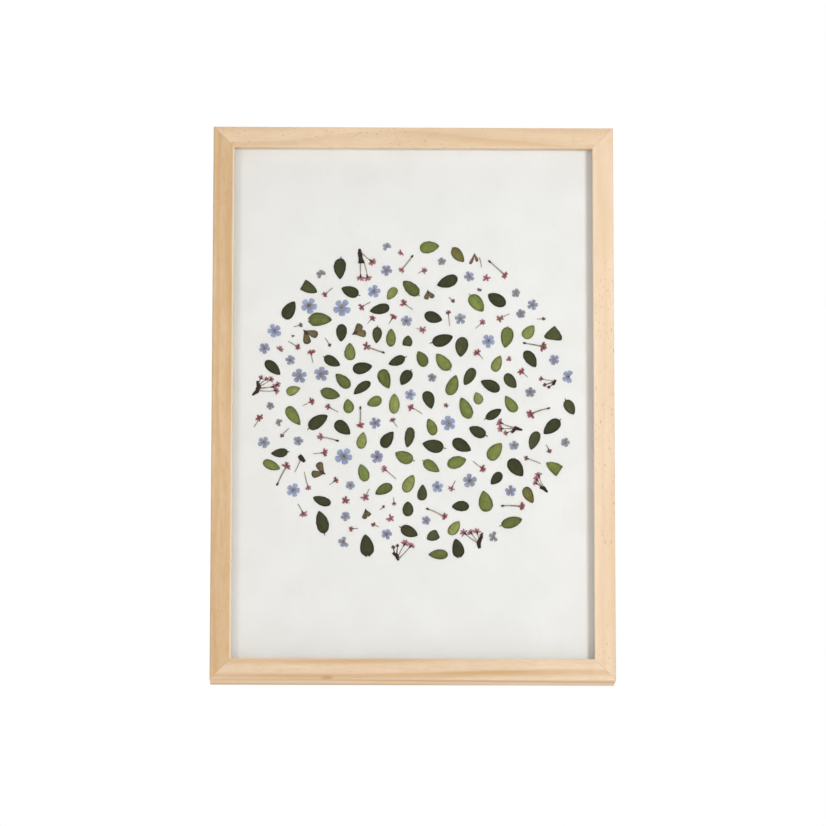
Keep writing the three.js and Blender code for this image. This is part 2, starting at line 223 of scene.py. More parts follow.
# The paler and smaller leaves, in the same form
OTHER_LEAVES = [
    ((-9.0, 63.2), (-13.8, 56.7), 5.0, "light"),
    ((3.2, 59.3), (-5.2, 67.0), 6.6, "forest", 1.0),
    ((4.0, 85.3), (14.7, 87.1), 6.8, "green"),
    ((22.2, 86.0), (28.3, 78.0), 5.8, "olive", 0.6),
    ((31.8, 59.2), (38.9, 50.2), 7.2, "green", 1.2),
    ((-56.6, 45.0), (-44.5, 45.2), 7.6, "forest"),
    ((-12.0, 30.1), (-11.8, 40.3), 5.4, "green"),
    ((-3.2, 30.6), (-2.4, 36.5), 5.4, "moss", 0, 0.15),
    ((-34.2, 22.5), (-34.6, 32.2), 6.2, "green"),
    ((-17.0, 17.4), (-12.9, 6.7), 7.0, "forest"),
    ((-34.6, 7.2), (-42.2, 14.8), 6.2, "forest"),
    ((-50.4, 5.2), (-39.8, 2.4), 6.4, "forest", 0.6),
    ((-69.2, 4.0), (-61.7, 6.9), 5.2, "light"),
    ((7.0, 19.1), (3.0, 27.7), 6.2, "forest"),
    ((20.6, 17.5), (13.2, 26.3), 6.8, "green", 0.8),
    ((19.8, 3.2), (24.0, 14.4), 6.6, "green"),
    ((44.8, 16.5), (48.4, 25.4), 5.6, "light"),
    ((52.6, 41.4), (50.8, 29.8), 7.0, "green", 0.6),
    ((61.3, 35.4), (66.9, 42.4), 6.2, "light"),
    ((77.2, 34.3), (78.3, 42.3), 9.9, "moss"),
    ((36.9, -1.9), (34.9, 4.8), 5.4, "light"),
    ((-17.1, 1.2), (-24.9, -2.3), 5.8, "green"),
    ((-10.2, -7.4), (-10.0, 3.8), 5.9, "light"),
    ((-35.0, -7.2), (-35.7, 0.8), 5.9, "green"),
    ((-68.7, -3.7), (-61.6, -13.9), 6.2, "green"),
    ((-28.6, -27.0), (-26.8, -17.7), 5.6, "light"),
    ((11.9, -19.3), (8.7, -10.1), 5.6, "green"),
    ((-25.5, -45.1), (-28.5, -35.6), 6.0, "green"),
    ((0.2, -33.4), (-9.4, -29.2), 7.0, "green", 1.2),
    ((40.4, -9.9), (48.9, -4.6), 5.0, "dark", 1.2),
    ((31.2, -9.0), (26.8, 1.8), 6.8, "green", 1.0),
    ((57.0, -5.9), (51.1, 2.9), 6.0, "green"),
    ((42.2, -32.8), (48.9, -23.6), 7.2, "green"),
    ((6.2, -33.6), (14.8, -39.6), 5.8, "green", 1.0),
    ((19.2, -36.1), (29.5, -32.6), 6.8, "green"),
    ((48.7, -40.0), (43.1, -46.5), 5.4, "dark"),
    ((-4.2, -51.1), (0.6, -41.5), 6.2, "light"),
    ((-11.1, -47.4), (-20.3, -52.2), 5.8, "forest"),
    ((80.9, -39.2), (73.4, -34.4), 6.6, "green", 0, 0.33),
    ((-81.8, -34.2), (-72.6, -38.3), 5.2, "green"),
    ((14.2, -74.0), (8.0, -77.0), 5.8, "moss", 0, 0.1),
    ((20.2, -74.4), (25.7, -67.1), 5.6, "light"),
    ((41.0, -61.7), (38.9, -50.0), 7.8, "green"),
    ((61.8, -48.0), (66.1, -56.8), 5.6, "olive"),
    ((19.5, -85.6), (8.8, -85.6), 5.6, "forest"),
]

# Two-lobed leaf pieces: the point where the lobes meet, the two lobes' ends, lobe width and tone
LOBED_LEAVES = [
    ((-59.0, 38.3), (-52.2, 36.4), (-57.7, 31.5), 5.0, "brown"),
    ((-32.0, 37.6), (-28.6, 42.8), (-25.6, 37.2), 4.8, "brown"),
    ((8.5, 61.2), (7.4, 56.8), (11.6, 57.8), 3.2, "brown"),
    ((-49.0, -40.5), (-51.4, -34.6), (-55.3, -41.2), 4.9, "brown"),
    ((-25.5, -61.3), (-26.4, -66.0), (-23.2, -64.2), 3.2, "brown"),
    ((34.1, 82.4), (31.6, 76.8), (35.7, 78.2), 2.0, "rust"),
]

# Forget-me-nots: centre, width across, angle of one petal, tone, and petals left on if not five
FORGET_ME_NOTS = [
    ((-57.1, 53.1), 9.2, 62, "blue"),
    ((-38.9, 51.9), 9.6, 53, "blue"),
    ((-50.6, 70.8), 5.2, 20, "grey", 4),
    ((-14.2, 86.3), 5.0, 10, "slate", 4),
    ((-14.5, 73.0), 6.2, 60, "violet"),
    ((-21.3, 61.2), 7.2, 80, "blue"),
    ((-3.5, 44.7), 6.4, 90, "slate"),
    ((16.0, 78.3), 4.6, 90, "grey"),
    ((31.3, 69.8), 6.0, 40, "slate"),
    ((26.4, 46.0), 6.3, 25, "slate"),
    ((57.0, 60.6), 5.0, 80, "grey"),
    ((66.2, 54.0), 6.0, 0, "slate"),
    ((59.8, 48.9), 5.3, 100, "grey"),
    ((-76.0, 38.8), 7.8, 41, "blue"),
    ((-81.5, 29.0), 6.4, 60, "violet"),
    ((-67.2, 22.5), 5.6, 30, "slate"),
    ((-62.3, 13.5), 8.2, 90, "violet"),
    ((-50.1, 14.7), 8.2, 85, "violet"),
    ((-1.3, 3.3), 6.2, 78, "blue"),
    ((10.7, 13.0), 5.0, 85, "grey"),
    ((41.8, 33.6), 7.6, 50, "blue"),
    ((78.0, 23.2), 6.0, 45, "violet"),
    ((85.9, 13.8), 7.4, 65, "blue", 4),
    ((64.8, 4.9), 6.0, 90, "grey"),
    ((-78.1, -3.2), 4.4, 50, "grey"),
    ((-73.1, -12.5), 4.2, 45, "grey", 4),
    ((-81.6, -23.6), 6.6, 65, "slate"),
    ((-62.7, -22.8), 5.4, 75, "slate"),
    ((-20.4, -12.6), 6.2, 36, "violet"),
    ((19.9, -12.6), 8.2, 30, "blue"),
    ((-37.6, -31.3), 9.6, 60, "blue"),
    ((-19.4, -31.5), 7.2, 92, "violet"),
    ((55.8, -24.8), 5.4, 90, "slate"),
    ((84.0, -23.0), 5.2, 70, "grey"),
    ((31.4, -44.6), 7.8, 90, "slate"),
    ((13.8, -48.0), 6.6, 92, "blue"),
    ((53.8, -50.2), 6.2, 90, "violet"),
    ((-65.2, -50.2), 7.6, 70, "blue"),
    ((-34.0, -47.3), 5.0, 60, "slate"),
    ((-36.6, -64.6), 5.3, 50, "slate"),
    ((-37.4, -78.8), 6.2, 95, "slate", 4),
    ((-14.0, -74.3), 6.0, 70, "violet"),
    ((7.6, -66.6), 5.0, 80, "violet"),
    ((44.7, -75.6), 6.0, 85, "grey", 4),
]

# Tiny crimson flowers: head, head size, how it was pressed, tone, and the far end of any stem
CRIMSON_FLOWERS = [
    ((-48.1, 59.5), 3.2, "fan", "crimson", (-44.2, 63.0)),
    ((-27.9, 52.6), 3.4, "fan", "crimson", (-23.3, 55.2)),
    ((-22.3, 45.9), 3.2, "fan", "crimson", (-24.8, 43.0)),
    ((-10.8, 46.6), 3.4, "fan", "crimson", (-13.0, 43.2)),
    ((-4.6, 54.4), 3.8, "fan", "crimson", (0.0, 51.1)),
    ((-6.2, 83.3), 3.2, "fan", "rose"),
    ((-6.0, 73.6), 3.2, "fan", "rose", (0.2, 81.6)),
    ((6.1, 73.0), 3.2, "fan", "rose", (3.0, 71.5)),
    ((22.3, 56.0), 2.4, "bud", "rust", (20.0, 58.0)),
    ((19.7, 49.2), 2.6, "fan", "rust", (20.5, 42.0)),
    ((38.3, 43.8), 3.2, "fan", "rose", (34.5, 40.5)),
    ((48.2, 46.2), 4.2, "star", "rose", (53.5, 48.8)),
    ((40.9, 69.0), 4.2, "star", "rose"),
    ((37.0, 62.8), 2.6, "fan", "rust"),
    ((50.6, 71.0), 3.8, "fan", "crimson", (42.0, 78.8)),
    ((-61.8, 42.0), 2.4, "fan", "rust", (-65.5, 41.2)),
    ((-66.0, 36.0), 1.9, "bud", "rust"),
    ((-63.5, 30.0), 3.2, "fan", "crimson", (-68.5, 33.0)),
    ((-73.1, 28.2), 3.6, "fan", "rose"),
    ((-55.8, 26.5), 3.8, "fan", "crimson", (-54.8, 21.0)),
    ((-45.6, 30.9), 2.2, "bud", "calyx", (-48.2, 35.0)),
    ((-25.3, 30.3), 4.4, "star", "crimson", (-15.5, 26.7)),
    ((5.7, 39.6), 4.0, "star", "rose", (2.0, 40.6)),
    ((36.0, 26.7), 3.8, "fan", "crimson", (38.8, 23.3)),
    ((71.5, 30.7), 4.6, "fan", "crimson", (61.0, 32.6)),
    ((72.2, 46.2), 2.4, "bud", "rust", (68.5, 46.1)),
    ((53.0, 23.6), 3.4, "bud", "rose"),
    ((60.2, 16.3), 3.8, "fan", "crimson", (63.5, 13.3)),
    ((-55.7, -0.8), 3.6, "fan", "crimson", (-60.3, -3.0)),
    ((-46.0, -3.7), 3.2, "fan", "crimson", (-40.8, -6.4)),
    ((-84.0, -9.8), 4.2, "star", "crimson", (-87.0, -15.0)),
    ((-71.6, -19.8), 2.4, "bud", "rust", (-67.8, -15.7)),
    ((-50.0, -20.5), 3.8, "fan", "rose", (-40.5, -22.7)),
    ((-48.7, -29.3), 4.0, "fan", "crimson", (-54.5, -29.8)),
    ((-69.2, -37.2), 4.2, "fan", "crimson", (-74.3, -47.5)),
    ((-28.7, -13.3), 3.8, "fan", "crimson", (-28.6, -3.5)),
    ((-10.8, -11.0), 2.6, "fan", "crimson", (-8.2, -14.8)),
    ((-0.5, -3.9), 3.6, "fan", "crimson", (5.4, -7.4)),
    ((18.5, -2.5), 2.8, "star", "rust"),
    ((-15.0, -38.5), 3.6, "fan", "rose", (-9.0, -43.7)),
    ((-42.2, -44.7), 3.2, "fan", "crimson", (-45.5, -47.0)),
    ((-57.1, -48.5), 3.0, "fan", "rose", (-59.3, -40.0)),
    ((-36.8, -55.7), 4.2, "star", "crimson", (-34.3, -57.3)),
    ((-26.0, -54.0), 4.4, "star", "rose", (-23.6, -49.2)),
    ((-10.0, -57.3), 2.4, "fan", "rose", (-10.4, -53.8)),
    ((-15.8, -59.2), 1.8, "bud", "calyx", (-17.8, -61.0)),
    ((-12.0, -65.6), 4.4, "star", "rose"),
    ((-33.1, -71.4), 2.8, "fan", "crimson", (-29.5, -71.3)),
    ((-21.4, -69.0), 2.6, "bud", "crimson", (-18.3, -70.3)),
    ((-59.8, -63.0), 3.8, "fan", "rose", (-62.8, -57.7)),
    ((17.1, -64.4), 3.6, "fan", "crimson", (7.7, -60.0)),
    ((21.5, -48.8), 3.2, "fan", "rose", (23.6, -44.6)),
    ((38.3, -37.6), 3.6, "fan", "crimson", (33.2, -33.6)),
    ((65.5, -7.0), 4.6, "fan", "crimson", (75.5, -3.8)),
    ((62.9, -32.0), 2.8, "fan", "rust", (70.3, -34.9)),
    ((75.1, -27.5), 2.8, "fan", "rust", (73.3, -24.2)),
    ((59.4, -58.7), 4.2, "fan", "crimson", (48.8, -58.4)),
]

# Dark umbel sprigs: the stalk's points, its half width at each, then each ray's start, bud and bud size
UMBELS = [
    ([(-29.4, 85.2), (-29.2, 82.6), (-28.8, 80.0), (-28.4, 77.0)], [0.7, 1.3, 1.2, 1.9], [
        ((-29.0, 84.0), (-22.5, 78.0), 4.4),
        ((-28.8, 78.0), (-28.7, 69.3), 4.0),
        ((-27.4, 79.5), (-24.9, 69.2), 3.8),
    ]),
    ([(-88.0, 2.6), (-85.4, 4.8), (-84.3, 7.6), (-85.2, 10.8)], [0.5, 1.2, 1.3, 0.7], [
        ((-84.6, 9.0), (-83.3, 12.4), 2.6),
        ((-84.0, 8.6), (-80.4, 11.7), 2.6),
        ((-83.9, 7.8), (-77.8, 11.5), 3.0),
        ((-84.2, 6.5), (-76.4, 7.4), 3.6),
        ((-84.2, 6.5), (-74.2, 8.7), 3.0),
        ((-84.8, 5.4), (-75.0, 5.3), 3.4),
    ]),
    ([(78.8, 12.0), (77.8, 10.8), (77.4, 9.0)], [0.6, 1.1, 0.7], [
        ((77.8, 11.4), (71.0, 12.5), 2.6),
        ((77.4, 10.6), (72.8, 9.1), 2.5),
        ((77.4, 9.6), (75.0, 7.8), 2.2),
    ]),
    ([(60.4, -16.1), (56.6, -15.0), (54.3, -17.6)], [0.5, 1.2, 0.8], [
        ((57.4, -15.0), (48.4, -12.2), 3.8),
        ((56.4, -15.2), (48.8, -15.5), 3.4),
        ((55.2, -16.4), (51.6, -17.9), 2.8),
    ]),
    ([(74.2, -50.7), (72.0, -48.4), (70.0, -47.8)], [0.5, 1.2, 0.9], [
        ((72.6, -49.0), (69.3, -41.6), 3.4),
        ((71.8, -48.2), (68.2, -43.6), 3.0),
        ((71.0, -48.0), (67.8, -45.8), 2.8),
    ]),
    ([(-7.5, -88.9), (-8.3, -86.2), (-10.6, -84.6)], [0.7, 1.2, 0.7], [
        ((-9.6, -85.2), (-10.3, -81.6), 2.4),
        ((-8.6, -86.0), (-8.1, -80.6), 2.2),
        ((-8.0, -87.2), (-4.1, -79.8), 3.8),
        ((-7.6, -88.2), (-0.8, -80.9), 3.4),
    ]),
    ([(36.9, -82.1), (36.4, -78.8), (38.2, -75.2)], [0.8, 1.3, 0.9], [
        ((36.4, -79.4), (28.6, -73.7), 3.8),
        ((36.3, -79.0), (32.1, -73.4), 3.2),
        ((36.6, -78.2), (35.4, -73.0), 3.4),
        ((37.4, -76.6), (37.9, -74.4), 2.4),
    ]),
    ([(-62.1, -30.9), (-60.9, -32.6), (-59.1, -34.4)], [1.2, 1.5, 0.8], [
        ((-61.4, -33.0), (-64.6, -40.2), 0),
    ]),
]

# One bare stem with no head
BARE_STEMS = [
    ((36.9, 80.6), (38.0, 75.0)),
]


# Node graphs
class Graph:
    """A material's node tree, with short ways to add the nodes used here."""

    def __init__(self, name):
        self.material = bpy.data.materials.new(name)
        self.material.use_nodes = True
        self.tree = self.material.node_tree
        self.tree.nodes.clear()
        self.output = self.tree.nodes.new("ShaderNodeOutputMaterial")

    def put(self, socket, value):
        if isinstance(value, bpy.types.NodeSocket):
            self.tree.links.new(value, socket)
        else:
            socket.default_value = value

    def add(self, kind, inputs=None, **settings):
        node = self.tree.nodes.new("ShaderNode" + kind)
        for name, value in settings.items():
            setattr(node, name, value)
        for name, value in (inputs or {}).items():
            self.put(node.inputs[name], value)
        return node

    def math(self, operation, first, second=0.0):
        return self.add("Math", {0: first, 1: second}, operation=operation).outputs[0]

    def plus(self, first, second):
        return self.math("ADD", first, second)

    def minus(self, first, second):
        return self.math("SUBTRACT", first, second)

    def times(self, first, second):
        return self.math("MULTIPLY", first, second)

    def from_line(self, value):
        """How far a value is from the middle of its unit, for lines that repeat."""
        return self.math("ABSOLUTE", self.minus(self.math("FRACT", value), 0.5))

    def between(self, value, low, high, to_low=0.0, to_high=1.0):
        """Maps a value smoothly from one range to another, held at both ends."""
        node = self.add("MapRange", {
            "Value": value, "From Min": low, "From Max": high, "To Min": to_low, "To Max": to_high,
        }, interpolation_type="SMOOTHSTEP")
        return node.outputs["Result"]

    def stretched(self, vector, scale):
        return self.add("VectorMath", {0: vector, 1: scale}, operation="MULTIPLY").outputs[0]

    def noise(self, vector, scale=1, detail=2, roughness=0.5):
        return self.add("TexNoise", {
            "Vector": vector, "Scale": scale, "Detail": detail, "Roughness": roughness,
        }).outputs["Fac"]

    def mix(self, share, first, second, blend="MIX"):
        inputs = {0: share, 6: first, 7: second}
        return self.add("Mix", inputs, data_type="RGBA", blend_type=blend).outputs[2]

    def scaled(self, colour, red, green, blue):
        """A colour with each of its channels multiplied."""
        return self.mix(1.0, colour, (red, green, blue, 1), "MULTIPLY")

    def ramp(self, value, stops):
        node = self.add("ValToRGB", {"Fac": value})
        elements = node.color_ramp.elements
        while len(elements) < len(stops):
            elements.new(0.5)
        for element, (position, colour) in zip(elements, stops):
            element.position = position
            element.color = colour
        return node.outputs["Color"]

    def surface(self, inputs):
        shader = self.add("BsdfPrincipled", inputs)
        self.tree.links.new(shader.outputs[0], self.output.inputs["Surface"])
        return shader

    def finished(self, colour, roughness, height, relief, strength=1.0, gloss=0.5, metal=0.0):
        """The material, with a bump that is relief millimetres deep where height goes from 0 to 1."""
        bump = self.add("Bump", {"Height": height, "Distance": relief * MM, "Strength": strength})
        self.surface({
            "Base Color": colour, "Roughness": roughness, "Metallic": metal, "Specular IOR Level": gloss,
            "Normal": bump.outputs["Normal"],
        })
        return self.material

    def object_place(self):
        return self.add("TexCoord").outputs["Object"]

    def tint(self):
        return self.add("Attribute", attribute_name="tint").outputs["Color"]

    def blade_place(self):
        """How far along its leaf or petal a point lies, and how far to one side."""
        place = self.add("Attribute", attribute_name="place").outputs["Vector"]
        return self.add("SeparateXYZ", {0: place}).outputs[:2]


def pine(name, grain_axis, pale, late, ring_pitch, ring_depth, wander, mottling, shift, run_out, arris_highlight,
         flecks, knot=None):
    """Planed pine: growth rings, fibres, mottling, resin flecks, a painted highlight along the inner arris
    and any knot.
    """
    graph = Graph(name)
    cross_axis = "Z" if grain_axis == "X" else "X"
    axes = graph.add("SeparateXYZ", {0: graph.object_place()})
    along = axes.outputs[grain_axis]
    across = axes.outputs[cross_axis]
    depth = graph.minus(axes.outputs["Y"], cad_low.y)
    whole = graph.add("CombineXYZ", {0: along, 1: across, 2: depth}).outputs[0]
    grain = graph.add("VectorMath", {0: whole, 1: shift}, operation="ADD").outputs[0]

    def grain_noise(along_scale, across_scale, **settings):
        return graph.noise(graph.stretched(grain, (along_scale, across_scale, across_scale)), **settings)

    wave = grain_noise(5, 34)
    run_start, run_end, run_rise = run_out
    run = graph.between(along, run_start, run_end, shift[1], shift[1] + run_rise)
    ring_place = graph.plus(across, graph.times(depth, RING_SLANT))
    ring_place = graph.plus(ring_place, graph.times(wave, wander * ring_pitch))
    ring = graph.math("FRACT", graph.math("DIVIDE", graph.plus(ring_place, run), ring_pitch))
    late_wood = graph.ramp(ring, [(share, (grey, grey, grey, 1)) for share, grey in RING_DARKNESS])
    uneven = graph.between(grain_noise(9, 120, detail=1), 0.3, 0.7, 0.45, 1.0)
    late_share = graph.times(graph.times(late_wood, uneven), ring_depth)

    fibre = grain_noise(60, 2600, detail=3)
    broad = grain_noise(11, 70)
    mottle = grain_noise(130, 420, detail=3, roughness=0.6)
    fleck = grain_noise(330, 1300, detail=1)
    patch = grain_noise(16, 60, detail=1)
    fleck = graph.times(graph.between(fleck, 0.64, 0.76), graph.between(patch, 0.40, 0.58))

    deep_late = (*[0.9 * channel for channel in late[:3]], 1)
    colour = graph.mix(late_share, pale, late)
    colour = graph.mix(graph.between(broad, 0.3, 0.7, 0.0, 0.28), colour, deep_late)
    colour = graph.mix(graph.between(mottle, 0.38, 0.75, 0.0, mottling), colour, late)
    colour = graph.mix(graph.between(fibre, 0.35, 0.75, 0.0, 0.22), colour, late)
    colour = graph.mix(graph.times(fleck, flecks), colour, RESIN)
    if knot:
        knot_along, knot_across, knot_size = knot
        squeezed = graph.stretched(whole, (0.5, 1.0, 1.0))
        centre = (0.5 * knot_along, knot_across, 0.0)
        away = graph.add("VectorMath", {0: squeezed, 1: centre}, operation="DISTANCE").outputs["Value"]
        colour = graph.mix(graph.between(away, 0.2 * knot_size, knot_size, 0.45, 0.0), colour, KNOT)

    # Painted highlight: the inner arris and the return face into the opening are painted pale, as strongly
    # as set for each rail
    half_opening, opening_middle = OPENING[cross_axis]
    from_sight = graph.math("ABSOLUTE", graph.minus(across, opening_middle))
    from_sight = graph.minus(from_sight, half_opening)
    arris_highlight_share = graph.times(graph.between(from_sight, 0.3 * MM, 1.3 * MM, 1.0, 0.0), arris_highlight)
    colour = graph.mix(arris_highlight_share, colour, ARRIS_HIGHLIGHT_PINE)

    height = graph.plus(graph.times(fibre, 0.6), graph.times(late_share, 0.5))
    height = graph.minus(height, graph.times(fleck, 0.8))
    return graph.finished(colour, graph.between(fibre, 0.2, 0.8, 0.50, 0.66), height, 0.06, gloss=0.3)


def clear_glass(name):
    """Float glass that lets lamp light and bounced light straight through to the sheet."""
    graph = Graph(name)
    glass = graph.surface({
        "Base Color": (0.99, 0.99, 0.99, 1), "Roughness": 0.0, "IOR": 1.5, "Transmission Weight": 1.0,
        "Specular IOR Level": 0.3,
    })
    clear = graph.add("BsdfTransparent", {"Color": (0.98, 0.98, 0.98, 1)})
    path = graph.add("LightPath")
    for_lamps = graph.add("MixShader", {
        0: path.outputs["Is Shadow Ray"], 1: glass.outputs[0], 2: clear.outputs[0],
    })
    for_bounces = graph.add("MixShader", {
        0: path.outputs["Is Diffuse Ray"], 1: for_lamps.outputs[0], 2: clear.outputs[0],
    })
    graph.tree.links.new(for_bounces.outputs[0], graph.output.inputs["Surface"])
    return graph.material


def white_paper(name):
    """Heavy uncoated paper: a fine tooth, faint fibres and a slightly cloudy white."""
    graph = Graph(name)
    place = graph.object_place()
    cloud = graph.noise(place, 45, 3)
    tooth = graph.noise(place, 1900, 4, 0.6)
    fibres = graph.noise(graph.stretched(place, (900, 900, 260)), detail=3)
    colour = graph.mix(graph.between(cloud, 0.3, 0.7), srgb(243, 244, 241), srgb(247, 248, 246))
    colour = graph.mix(graph.between(fibres, 0.55, 0.8, 0.0, 0.3), colour, srgb(226, 223, 215))
    return graph.finished(colour, graph.between(tooth, 0.3, 0.7, 0.84, 0.96), tooth, 0.04, strength=0.8)


def fibreboard(name):
    """Bare fibreboard: brown felted fibres with pale and dark specks."""
    graph = Graph(name)
    place = graph.object_place()
    felt = graph.noise(place, 900, 4, 0.65)
    specks = graph.noise(place, 2400, 1)
    cloud = graph.noise(place, 30, 3)
    colour = graph.ramp(felt, [
        (0.25, srgb(128, 95, 62)), (0.5, srgb(160, 124, 86)), (0.75, srgb(182, 148, 108)),
    ])
    colour = graph.mix(graph.between(cloud, 0.3, 0.7, 0.0, 0.25), colour, srgb(140, 104, 70))
    colour = graph.mix(graph.between(specks, 0.66, 0.74, 0.0, 0.6), colour, srgb(88, 62, 40))
    return graph.finished(colour, graph.between(felt, 0.3, 0.7, 0.72, 0.9), felt, 0.08)


def zinc_steel(name):
    """Bright zinc plate: fine rolling lines, cloudy roughness and dull patches."""
    graph = Graph(name)
    place = graph.object_place()
    lines = graph.noise(graph.stretched(place, (260, 5200, 5200)))
    cloud = graph.noise(place, 340, 3)
    colour = graph.mix(graph.between(cloud, 0.35, 0.7), (0.62, 0.63, 0.65, 1), (0.46, 0.46, 0.47, 1))
    rough = graph.plus(graph.between(cloud, 0.3, 0.7, 0.24, 0.40), graph.times(lines, 0.08))
    return graph.finished(colour, rough, lines, 0.02, metal=1.0)


def pressed_leaf(name):
    """A dried leaf: pale midrib, side veins, dark margin, one darker half, and brown where it faded."""
    graph = Graph(name)
    tint = graph.tint()
    along, side = graph.blade_place()
    off_rib = graph.math("ABSOLUTE", side)
    place = graph.object_place()

    rib = graph.between(off_rib, 0.03, 0.10, 1.0, 0.0)
    rib = graph.times(rib, graph.between(along, 0.0, 0.95, 0.9, 0.1))
    vein = graph.from_line(graph.minus(graph.times(along, 7.0), graph.times(off_rib, 1.5)))
    vein = graph.between(vein, 0.03, 0.12, 1.0, 0.0)
    vein = graph.times(vein, graph.between(off_rib, 0.5, 0.95, 0.6, 0.0))
    lines = graph.math("MAXIMUM", rib, graph.times(vein, 0.5))
    cloud = graph.noise(place, 420, 3)
    faded = graph.between(graph.noise(place, 150), 0.52, 0.72, 0.0, 0.35)
    skin = graph.noise(place, 5200)
    from_middle = graph.math("ABSOLUTE", graph.minus(along, 0.48))
    outward = graph.math("MAXIMUM", off_rib, graph.times(from_middle, 1.9))
    outward = graph.plus(outward, graph.times(graph.minus(cloud, 0.5), 0.9))

    plain = graph.scaled(tint, 1.05, 1.07, 1.02)
    colour = graph.mix(graph.between(cloud, 0.35, 0.65), plain, graph.scaled(tint, 1.55, 1.53, 1.40))
    one_half = graph.between(side, -0.08, 0.08, 0.0, 0.35)
    colour = graph.mix(one_half, colour, graph.scaled(tint, 0.84, 0.86, 0.80))
    margin = graph.between(outward, 0.55, 1.0)
    colour = graph.mix(margin, colour, graph.scaled(tint, 0.52, 0.46, 0.36))
    colour = graph.mix(faded, colour, graph.scaled(tint, 1.45, 1.15, 0.85))
    colour = graph.mix(graph.times(lines, 0.40), colour, graph.scaled(tint, 1.75, 1.65, 1.40))
    rough = graph.between(cloud, 0.3, 0.7, 0.60, 0.80)
    height = graph.plus(lines, graph.times(skin, 0.35))
    return graph.finished(colour, rough, height, 0.06, gloss=PLANT_GLOSS)


def pressed_petal(name, throat):
    """A dried petal: its own tint, veins that run to a paler edge, and a throat of another colour."""
    graph = Graph(name)
    tint = graph.tint()
    along, side = graph.blade_place()
    cloud = graph.noise(graph.object_place(), 700, 3)
    veins = graph.between(graph.from_line(graph.times(side, 3.0)), 0.02, 0.14, 1.0, 0.0)
    veins = graph.times(veins, graph.between(along, 0.2, 0.9, 0.5, 0.1))
    plain = graph.scaled(tint, 0.84, 0.84, 0.88)
    colour = graph.mix(graph.between(cloud, 0.25, 0.75), plain, graph.scaled(tint, 1.14, 1.14, 1.08))
    colour = graph.mix(veins, colour, graph.scaled(tint, 0.68, 0.66, 0.74))
    pale_edge = graph.mix(0.3, tint, (0.9, 0.9, 0.92, 1))
    colour = graph.mix(graph.between(along, 0.45, 1.0, 0.0, 0.45), colour, pale_edge)
    colour = graph.mix(graph.between(along, 0.10, 0.50, 0.8, 0.0), colour, throat)
    rough = graph.between(cloud, 0.3, 0.7, 0.62, 0.82)
    return graph.finished(colour, rough, graph.plus(veins, cloud), 0.04, gloss=PLANT_GLOSS)


def dried_stem(name):
    """Stems, calyces, buds and eyes: their own tint with darker patches and a fine roughness."""
    graph = Graph(name)
    tint = graph.tint()
    place = graph.object_place()
    patches = graph.noise(place, 520, 3)
    grit = graph.noise(place, 3800)
    shade = graph.scaled(tint, 0.66, 0.64, 0.62)
    colour = graph.mix(graph.between(patches, 0.3, 0.72), shade, graph.scaled(tint, 1.22, 1.2, 1.16))
    rough = graph.between(grit, 0.3, 0.7, 0.6, 0.85)
    return graph.finished(colour, rough, grit, 0.05, gloss=PLANT_GLOSS)


def pale_floor(name):
    """A plain, pale, matt studio floor."""
    graph = Graph(name)
    cloud = graph.noise(graph.object_place(), 1.5)
    colour = graph.mix(cloud, (0.86, 0.87, 0.88, 1), (0.89, 0.90, 0.91, 1))
    graph.surface({"Base Color": colour, "Roughness": 0.9})
    return graph.material


def placed(name, data):
    """An object made of this data, put in the scene."""
    made = bpy.data.objects.new(name, data)
    bpy.context.scene.collection.objects.link(made)
    return made


# Meshes of pressed plants
SHARP_ANGLE = math.radians(50)


class JoinedMesh:
    """Small closed solids on the sheet, in millimetres from the field's centre, that become one piece."""

    def __init__(self):
        self.points = []
        self.faces = []
        self.places = []
        self.tints = []
        self.count = 0

    def add(self, points, faces, places, tint):
        self.points.append(points)
        self.faces.extend((face + self.count).tolist() for face in faces)
        self.places.append(places)
        self.tints.append(np.tile(tint, (len(points), 1)))
        self.count += len(points)

    def piece(self, name, material):
        flat = np.concatenate(self.points)
        world = np.empty_like(flat)
        world[:, 0] = FIELD_CENTRE_X + flat[:, 0] * MM
        world[:, 1] = SHEET_FRONT_Y - flat[:, 2] * MM
        world[:, 2] = FIELD_CENTRE_Z + flat[:, 1] * MM
        mesh = bpy.data.meshes.new(name)
        mesh.from_pydata(world.tolist(), [], self.faces)
        mesh.attributes.new("place", "FLOAT_VECTOR", "POINT").data.foreach_set(
            "vector", np.concatenate(self.places).astype(np.float32).ravel())
        mesh.attributes.new("tint", "FLOAT_COLOR", "POINT").data.foreach_set(
            "color", np.concatenate(self.tints).astype(np.float32).ravel())
        solid = bmesh.new()
        solid.from_mesh(mesh)
        bmesh.ops.recalc_face_normals(solid, faces=solid.faces)
        solid.to_mesh(mesh)
        solid.free()
        mesh.shade_smooth()
        mesh.set_sharp_from_angle(angle=SHARP_ANGLE)
        mesh.materials.append(material)
        made = placed(name, mesh)
        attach(made, "root")
        return made


def grid_faces(rows, columns):
    """Faces of a closed sheet: a top grid, a bottom grid behind it, and a rim between them."""
    index = np.arange(rows * columns).reshape(rows, columns)
    corners = [index[:-1, :-1], index[1:, :-1], index[1:, 1:], index[:-1, 1:]]
    quads = np.stack(corners, -1).reshape(-1, 4)
    under = quads[:, ::-1] + rows * columns
    rim = np.concatenate([index[0, :], index[1:, -1], index[-1, -2::-1], index[-2:0:-1, 0]])
    following = np.roll(rim, -1)
    walls = np.stack([rim, following, following + rows * columns, rim + rows * columns], -1)
    return np.concatenate([quads, under, walls])


def unit(vector):
    return vector / np.linalg.norm(vector)


def direction(turn):
    return np.array([math.cos(turn), math.sin(turn)])


# Where a blade's points begin and end along it, its ripples, and how much thinner its edge is
NEAR_BASE = 0.004
NEAR_TIP = 0.997
RIPPLES = 23
EDGE_THINNING = 0.55


